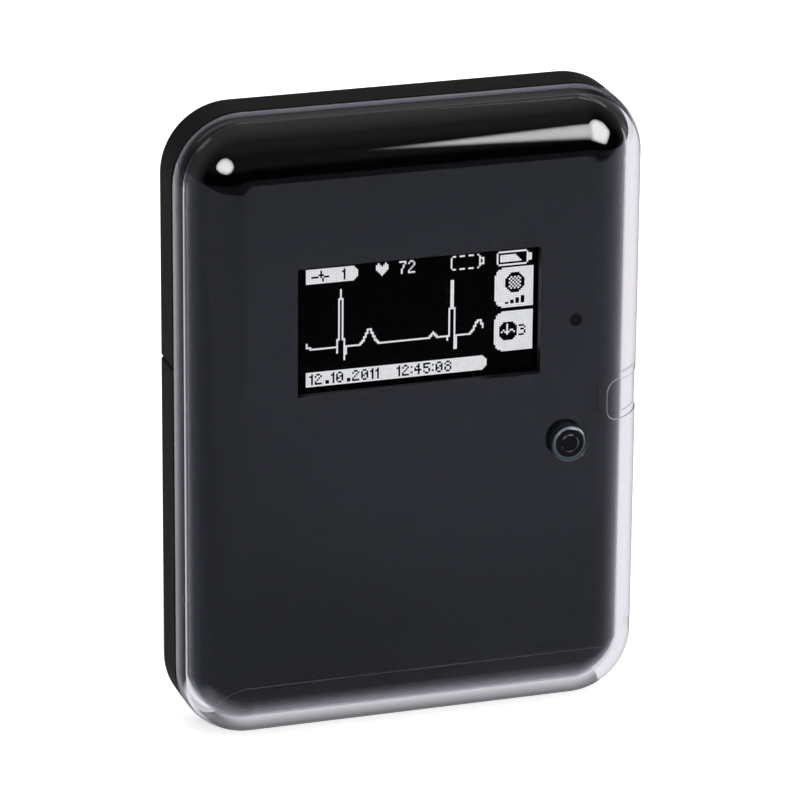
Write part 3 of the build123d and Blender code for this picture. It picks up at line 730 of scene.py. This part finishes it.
def panel(dots, top, bottom, left, right, steps_left=(0,), steps_right=(0,)):
    """Filled box whose end rows are shortened by the given steps, counted from the corners."""
    row = np.arange(top, bottom + 1)[:, None]
    column = np.arange(left, right + 1)[None, :]
    edge = np.minimum(row - top, bottom - row)
    cut_left = np.array((*steps_left, 0))[np.minimum(edge, len(steps_left))]
    cut_right = np.array((*steps_right, 0))[np.minimum(edge, len(steps_right))]
    inside = (column - left >= cut_left) & (right - column >= cut_right)
    dots[top : bottom + 1, left : right + 1] |= inside


# %% Heart trace
trace_row = 43.0
trace_end = 100
trace_start = ((0.0, 3.0), (0.9, 1.0), (2.5, 1.0), (3.0, 0.0))
first_beat = 17
second_beat = 79
spike_one = (
    (0, 0),
    (0.4, -3),
    (1, 4),
    (2, 26),
    (2.5, 30.5),
    (3, 26),
    (4, 4),
    (4.8, -7),
    (5.2, -2),
    (6, 0),
)
spike_two = ((0, 0), (0.4, -2), (1, 0), (2, 15), (3, 30), (4, 15), (5, -7), (6, 0))
waves = ((35.6, 3.0, 8.0), (71.5, 1.9, 2.6), (97.2, 2.7, 7.4))
column_samples = np.linspace(0.02, 0.98, 25)


def trace_height(column):
    """Height over the base line: two spikes of straight pieces, and bell curves beside them.

    A bell curve is its size times e to the minus square of (column less centre) over width.
    """
    line = list(trace_start)
    for start, spike in ((first_beat, spike_one), (second_beat, spike_two)):
        line += [(start + along, height) for along, height in spike]
    height = np.interp(column, *np.transpose(line))
    for centre, width, size in waves:
        height = height + size * np.exp(-(((column - centre) / width) ** 2))
    return height


def draw_trace(dots):
    """Light each column from the least to the greatest height in it, so steep parts stay joined."""
    column = np.arange(trace_end)
    heights = trace_height(column[:, None] + column_samples[None, :])
    top = np.floor(trace_row - heights.max(axis=1) + 0.5)
    low = np.floor(trace_row - heights.min(axis=1) + 0.5)
    row = np.arange(screen_rows)[:, None]
    dots[:, :trace_end] |= (row >= top[None, :]) & (row <= low[None, :])


# %% Draw the whole screen
tag_rows = (0, 7)
tag_columns = (0, 28)
upper_rows = (9, 30)
lower_rows = (33, 54)
sign_columns = (106, 127)
foot_rows = (56, 63)
foot_columns = (0, 101)
tag_steps = (2, 1)
sign_steps = (4, 2, 1, 1)
trace_place = (1, 3)
channel_place = (1, 20)
heart_place = (0, 39)
rate_place = (0, 52)
lamp_place = (12, 112)
level_place = (25, 112)
disc_place = (39, 109)
count_place = (41, 120)
date_place = (57, 2)
clock_place = (57, 51)
disc_size = 10
lamp_radius = 5
lamp_middle = 3.9
lamp_rim = 5.6
empty_walls = (81, 97)
full_walls = (107, 124)
dash_pitch = 5
dash_length = 3


def draw_lamp(dots, row, column):
    """Round sign: a dark ring, and a checkered middle where row plus column is even."""
    step = np.arange(-lamp_radius, lamp_radius + 1)
    away = np.hypot(step[:, None], step[None, :])
    checker = (step[:, None] + step[None, :]) % 2 == 0
    stamp(dots, row, column, (away < lamp_rim) & ((away > lamp_middle) | checker), False)


def draw_battery(dots, left, right):
    """Battery sign on its side in the rows of the tag: two walls, two edges and a solid cap."""
    dots[1:7, [left, right]] = True
    dots[[0, 7], left + 1 : right] = True
    dots[2:6, right + 1 : right + 3] = True


def draw_batteries(dots):
    """An empty battery with dashed edges and a hollow cap, and a solid one that is partly full."""
    left, right = empty_walls
    draw_battery(dots, left, right)
    for column in range(left + dash_length, right, dash_pitch):
        dots[[0, 7], column : column + dash_pitch - dash_length] = False
    dots[3:5, right + 1] = False
    left, right = full_walls
    draw_battery(dots, left, right)
    for row in range(2, 6):
        dots[row, left + 2 : left + 9 + row] = True


def draw_screen():
    """All dots of the picture, true where lit, with row 0 at the top."""
    dots = np.zeros((screen_rows, screen_columns), dtype=bool)
    panel(dots, *tag_rows, *tag_columns, steps_right=tag_steps)
    stamp(dots, *trace_place, bits(trace_sign), False)
    write(dots, *channel_place, "1", False, short=True)
    stamp(dots, *heart_place, bits(heart_rows))
    write(dots, *rate_place, "72")
    draw_batteries(dots)
    draw_trace(dots)
    panel(dots, *upper_rows, *sign_columns, steps_left=sign_steps)
    draw_lamp(dots, *lamp_place)
    stamp(dots, *level_place, bits(level_sign), False)
    panel(dots, *lower_rows, *sign_columns, steps_left=sign_steps)
    disc = np.zeros((disc_size, disc_size), dtype=bool)
    panel(disc, 0, disc_size - 1, 0, disc_size - 1, tag_steps, tag_steps)
    stamp(dots, *disc_place, disc, False)
    stamp(dots, *disc_place, bits(pulse_sign))
    write(dots, *count_place, "3", False, short=True)
    panel(dots, *foot_rows, *foot_columns, steps_right=tag_steps)
    write(dots, *date_place, "12.10.2011", False, short=True)
    write(dots, *clock_place, "12:45:08", False, short=True)
    return dots


dots = draw_screen()
print("lit dots", int(dots.sum()), "of", dots.size)

# %% Make the lit dots
lit_left = -17.40 * mm
lit_right = 17.90 * mm
lit_bottom = 55.53 * mm
lit_top = 73.8 * mm
dot_fill = 0.93
dot_stand = 0.01 * mm
dot_white = (0.93, 0.93, 0.95, 1.0)
dot_glow = (0.86, 1.0)
glow_size = 1.2 * mm


def dot_mesh():
    """One square for each lit dot, its corners half a filled pitch from the dot's centre."""
    pitch_x = (lit_right - lit_left) / screen_columns
    pitch_z = (lit_top - lit_bottom) / screen_rows
    row, column = np.nonzero(dots)
    centre_x = lit_left + (column + 0.5) * pitch_x
    centre_z = lit_top - (row + 0.5) * pitch_z
    corner = np.array([(-1, -1), (1, -1), (1, 1), (-1, 1)]) * dot_fill / 2
    x = centre_x[:, None] + corner[None, :, 0] * pitch_x
    z = centre_z[:, None] + corner[None, :, 1] * pitch_z
    y = np.full_like(x, glass_low.y - dot_stand)
    points = np.stack([x, y, z], axis=2).reshape(-1, 3)
    return points, np.arange(len(points)).reshape(-1, 4)


def screen_light():
    """White glow of the lit dots, a little uneven as on a real panel."""
    material = base_material("screen_light", (0.02, 0.02, 0.02), 0.4)
    shader = material.node_tree.nodes["Principled BSDF"]
    shader.inputs["Emission Color"].default_value = dot_white
    glow = spread(material, noise(material, glow_size, detail=2.0), *dot_glow)
    material.node_tree.links.new(glow, shader.inputs["Emission Strength"])
    return material


screen_dots = mesh_object("screen_dots", *dot_mesh())
screen_dots.data.materials.append(screen_light())
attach(screen_dots, "housing")
print("screen dots faces", len(screen_dots.data.polygons))

# %% [markdown]
# ## The studio
#
# A gloss object shows its surroundings, so the studio is part of its look. The floor is white
# and runs out of sight. In mirrors and clear plastic it shows a painted map instead: a dark
# card lies in front and to the left, with soft edges where the white floor starts again. The
# body behind the clear cover mirrors the card as an even grey, and the cover itself doesn't
# show it, as if coated. The ray depth, which grows with each mirror and each face of clear
# plastic on the way, tells the two apart.

# %% Helpers for the studio


def mirror_ray(tree, path):
    """One for rays that left a mirror or clear plastic, and zero for others."""
    mirrored = path.outputs["Is Glossy Ray"]
    return math_node(tree, "MAXIMUM", mirrored, path.outputs["Is Transmission Ray"])


def turn_about(tree, split, x, y):
    """Angle in degrees round a floor point: 0 is ahead, minus to the left, plus to the right."""
    across = math_node(tree, "SUBTRACT", split.outputs["X"], x)
    ahead = math_node(tree, "SUBTRACT", y, split.outputs["Y"])
    return times(tree, math_node(tree, "ARCTAN2", across, ahead), 180.0 / math.pi)


# %% Floor
floor_reach = 3.0
floor_tone = 0.80
floor_grain = 0.01
floor_glow = 0.6
left_hinge = (-33 * mm, -5 * mm)
left_stops = (
    (-180, 0.6),
    (-163, 0.6),
    (-152, 1.0),
    (-142, 0.7),
    (-133, 0.35),
    (-125, 0.12),
    (-116, 0.0),
)
right_hinge = (32 * mm, -5 * mm)
right_stops = ((35, 0.0), (54, 0.1), (67, 0.28), (85, 0.62), (100, 0.88), (180, 0.88))
strip_reach = 40 * mm
# Under the case the strip drops low: a painted shadow of the case.
strip_and_shadow_stops = (
    (-13 * mm, 0.0),
    (-7.5 * mm, 0.9),
    (-6 * mm, 0.8),
    (-1.5 * mm, 0.12),
    (10 * mm, 0.12),
    (12 * mm, 0.0),
)
strip_width = 100 * mm
strip_ends = ((0.0, 1.0), (42 * mm, 1.0), (52 * mm, 0.0))
deep_ray = 4.0
card_grey = 0.93
card_reach = -2.0
card_stops = (
    (-2.0, 0.0),
    (-1.6, 0.17),
    (-0.302, 0.19),
    (-0.272, 0.88),
    (-0.2, 0.97),
    (-0.16, 1.0),
    (-0.085, 0.98),
    (-0.05, 0.82),
    (0.0, 0.8),
)
card_width = 0.2
card_side_stops = ((0.0, 0.84), (0.02, 0.97), (0.05, 1.0), (0.2, 1.06))
floor_white = (0.97, 0.93, 0.98, 1.0)
card_blue = (0.83, 0.85, 1.0, 1.0)


def card_value(tree, path, split):
    """Mirror map of the floor: its pale parts for all rays, and the grey card for deep ones.

    The pale parts start at an angle round each lower corner of the case, and a strip of them
    lies below the front. Under the case the strip drops low, a painted shadow of the case that
    only mirrors show. The greater of the parts counts at each place.
    """
    x, y = split.outputs["X"], split.outputs["Y"]
    left = ramp_node(tree, turn_about(tree, split, *left_hinge), -180, 180, left_stops)
    right = ramp_node(tree, turn_about(tree, split, *right_hinge), -180, 180, right_stops)
    # Strip below the front, with a painted shadow under the case.
    strip = ramp_node(tree, y, -strip_reach, strip_reach, strip_and_shadow_stops)
    wide = math_node(tree, "ABSOLUTE", x)
    strip = times(tree, strip, ramp_node(tree, wide, 0.0, strip_width, strip_ends))
    pale = math_node(tree, "MAXIMUM", math_node(tree, "MAXIMUM", left, right), strip)
    along = ramp_node(tree, y, card_reach, 0.0, card_stops)
    side = ramp_node(tree, x, 0.0, card_width, card_side_stops)
    deep = above(tree, path.outputs["Ray Depth"], deep_ray)
    return math_node(tree, "MAXIMUM", pale, times(tree, along, side, card_grey, deep))


def floor_material():
    """White floor that glows a little for the camera, and shows the card's map in mirrors."""
    material = base_material("floor_white", (floor_tone,) * 3, 0.9)
    tree = material.node_tree
    shader = tree.nodes["Principled BSDF"]
    fine = noise(material, 4 * mm)
    vary_colour(material, fine, (floor_tone - floor_grain,) * 3, (floor_tone + floor_grain,) * 3)
    path = tree.nodes.new("ShaderNodeLightPath")
    shader.inputs["Emission Color"].default_value = (1.0, 1.0, 1.0, 1.0)
    glow = times(tree, path.outputs["Is Camera Ray"], floor_glow)
    tree.links.new(glow, shader.inputs["Emission Strength"])
    place = tree.nodes.new("ShaderNodeTexCoord")
    split = tree.nodes.new("ShaderNodeSeparateXYZ")
    tree.links.new(place.outputs["Object"], split.inputs["Vector"])
    shown = tree.nodes.new("ShaderNodeEmission")
    tint = tree.nodes.new("ShaderNodeValToRGB")
    tint.color_ramp.elements[0].color = floor_white
    tint.color_ramp.elements[1].color = card_blue
    tree.links.new(above(tree, path.outputs["Ray Depth"], deep_ray), tint.inputs["Fac"])
    tree.links.new(tint.outputs["Color"], shown.inputs["Color"])
    tree.links.new(card_value(tree, path, split), shown.inputs["Strength"])
    mix = tree.nodes.new("ShaderNodeMixShader")
    tree.links.new(mirror_ray(tree, path), mix.inputs["Fac"])
    tree.links.new(shader.outputs["BSDF"], mix.inputs[1])
    tree.links.new(shown.outputs["Emission"], mix.inputs[2])
    tree.links.new(mix.outputs["Shader"], tree.nodes["Material Output"].inputs["Surface"])
    return material


floor_corners = np.array([(-1, -1, 0), (1, -1, 0), (1, 1, 0), (-1, 1, 0)]) * floor_reach
floor = mesh_object("floor", floor_corners, [[0, 1, 2, 3]])
floor.data.materials.append(floor_material())

# %% [markdown]
# ## The room and its lamps
#
# The sky of the scene is white for the camera and an even grey for plain light. Rays that leave
# gloss or clear plastic see a dark room that pales towards the back instead. Only the outermost
# gloss sees the two many-sided soft boxes well, which draw the bright spot and the long streak on
# the upper rounding. Two lamps that no mirror shows stand in the same places and light the rest,
# and a weaker one behind shows the grain of the back.

# %% Directions and soft boxes
box_edge = 0.02
box_round = 0.015
box_middle = 0.12
box_dim = 0.45


def room_way(turn, rise):
    """Direction from the recorder: (sin turn cos rise, -cos turn cos rise, sin rise)."""
    turn = math.radians(turn)
    rise = math.radians(rise)
    level = math.cos(rise)
    return Vector((math.sin(turn) * level, -math.cos(turn) * level, math.sin(rise)))


def soft_box(tree, way, corners):
    """One inside a box in the sky, whose sides are planes through the recorder and two corners.

    The least of the dot products with the inward side normals is smoothed at the corners, and
    runs from 0 to 1 over the edge width. The box is brighter towards its middle.
    """
    ways = [room_way(*corner) for corner in corners]
    inside = None
    for first, second in zip(ways, ways[1:] + ways[:1]):
        side = vector_node(tree, "DOT_PRODUCT", way)
        side.inputs[1].default_value = second.cross(first).normalized()
        if inside is None:
            inside = side.outputs["Value"]
        else:
            least = tree.nodes.new("ShaderNodeMath")
            least.operation = "SMOOTH_MIN"
            least.inputs[2].default_value = box_round
            tree.links.new(inside, least.inputs[0])
            tree.links.new(side.outputs["Value"], least.inputs[1])
            inside = least.outputs["Value"]
    soft = tree.nodes.new("ShaderNodeMapRange")
    soft.interpolation_type = "SMOOTHSTEP"
    soft.inputs["From Max"].default_value = box_edge
    tree.links.new(inside, soft.inputs["Value"])
    middle = tree.nodes.new("ShaderNodeMapRange")
    middle.inputs["From Max"].default_value = box_middle
    middle.inputs["To Min"].default_value = box_dim
    tree.links.new(inside, middle.inputs["Value"])
    return times(tree, soft.outputs["Result"], middle.outputs["Result"])


# %% World
room_light = 0.5
right_box = [
    (20.3, 18),
    (20.4, 34),
    (21.4, 38),
    (23.8, 41.6),
    (28.2, 47.5),
    (39.5, 51.2),
    (49, 49.2),
    (57.2, 39.6),
    (57.6, 23.8),
    (48, 15.2),
    (38.6, 7.8),
    (28.8, 12),
]
left_box = [
    (-56.5, 33),
    (-53, 41.5),
    (-40, 46),
    (-24.5, 39),
    (-20, 30),
    (-23, 22),
    (-31, 18),
    (-46, 21.5),
    (-55, 26.5),
]
box_glow = 20.0
first_ray = 2.5
late_ray = 5.5
late_share = 0.03
wall_height_stops = (
    (-1.0, 0.0),
    (0.22, 0.0),
    (0.3, 0.006),
    (0.36, 0.02),
    (0.42, 0.042),
    (0.58, 0.045),
    (0.7, 0.036),
    (0.79, 0.045),
    (0.87, 0.085),
    (0.95, 0.08),
)
wall_back_stops = (
    (-1.0, 0.0),
    (-0.1, 0.0),
    (0.0, 0.1),
    (0.12, 0.15),
    (0.28, 0.17),
    (0.6, 0.10),
    (0.93, 0.25),
)
wall_side_stops = ((-1.0, 1.0), (0.3, 1.0), (0.6, 0.35), (1.0, 0.3))


def make_world():
    """White for the camera, even for plain light, and for mirrors a room that pales to the back.

    The brightness of the room is the greater of a value by height and a value by depth, times a
    value by side, or that of the soft boxes where they are brighter.
    """
    world = bpy.data.worlds.new("studio")
    bpy.context.scene.world = world
    world.use_nodes = True
    tree = world.node_tree
    background = tree.nodes["Background"]
    background.inputs["Color"].default_value = (1.0, 1.0, 1.0, 1.0)
    place = tree.nodes.new("ShaderNodeTexCoord")
    split = tree.nodes.new("ShaderNodeSeparateXYZ")
    way = place.outputs["Generated"]
    tree.links.new(way, split.inputs["Vector"])
    path = tree.nodes.new("ShaderNodeLightPath")
    depth = path.outputs["Ray Depth"]
    right, left = soft_box(tree, way, right_box), soft_box(tree, way, left_box)
    first = below(tree, depth, first_ray)
    late = times(tree, above(tree, depth, late_ray), late_share)
    gloss = times(tree, math_node(tree, "ADD", first, late), box_glow)
    boxes = times(tree, math_node(tree, "MAXIMUM", right, left), gloss)
    height = ramp_node(tree, split.outputs["Z"], -1.0, 1.0, wall_height_stops)
    back = ramp_node(tree, split.outputs["Y"], -1.0, 1.0, wall_back_stops)
    side = ramp_node(tree, split.outputs["X"], -1.0, 1.0, wall_side_stops)
    walls = times(tree, math_node(tree, "MAXIMUM", height, back), side)
    plain, mirrored, result = mix_node(tree, "FLOAT", mirror_ray(tree, path))
    plain.default_value = room_light
    tree.links.new(math_node(tree, "MAXIMUM", walls, boxes), mirrored)
    seen = math_node(tree, "MAXIMUM", result, path.outputs["Is Camera Ray"])
    tree.links.new(seen, background.inputs["Strength"])


make_world()

# %% Lamps for plain light


def soft_lamp(name, turn, rise, away, size, glow):
    """Square lamp that is turned to the recorder's top and isn't seen in mirrors.

    Its power is its glow times pi times its area.
    """
    data = bpy.data.lights.new(name, "AREA")
    data.size = size
    data.energy = glow * math.pi * size * size
    lamp = bpy.data.objects.new(name, data)
    bpy.context.scene.collection.objects.link(lamp)
    way = room_way(turn, rise)
    place = Vector((0.0, 0.0, case_high.z)) + way * away
    facing = way.to_track_quat("Z", "Y").to_matrix().to_4x4()
    lamp.matrix_world = Matrix.Translation(place) @ facing
    lamp.visible_glossy = False
    lamp.visible_transmission = False
    print(name, "power", round(data.energy, 2), "W")


soft_lamp("right_lamp", turn=39.0, rise=29.0, away=0.9, size=0.58, glow=4.6)
soft_lamp("left_lamp", turn=-36.0, rise=31.0, away=0.9, size=0.45, glow=2.4)
soft_lamp("back_lamp", turn=165.0, rise=14.0, away=0.9, size=0.5, glow=4.0)

# %% View settings
bpy.context.scene.view_settings.view_transform = "Standard"
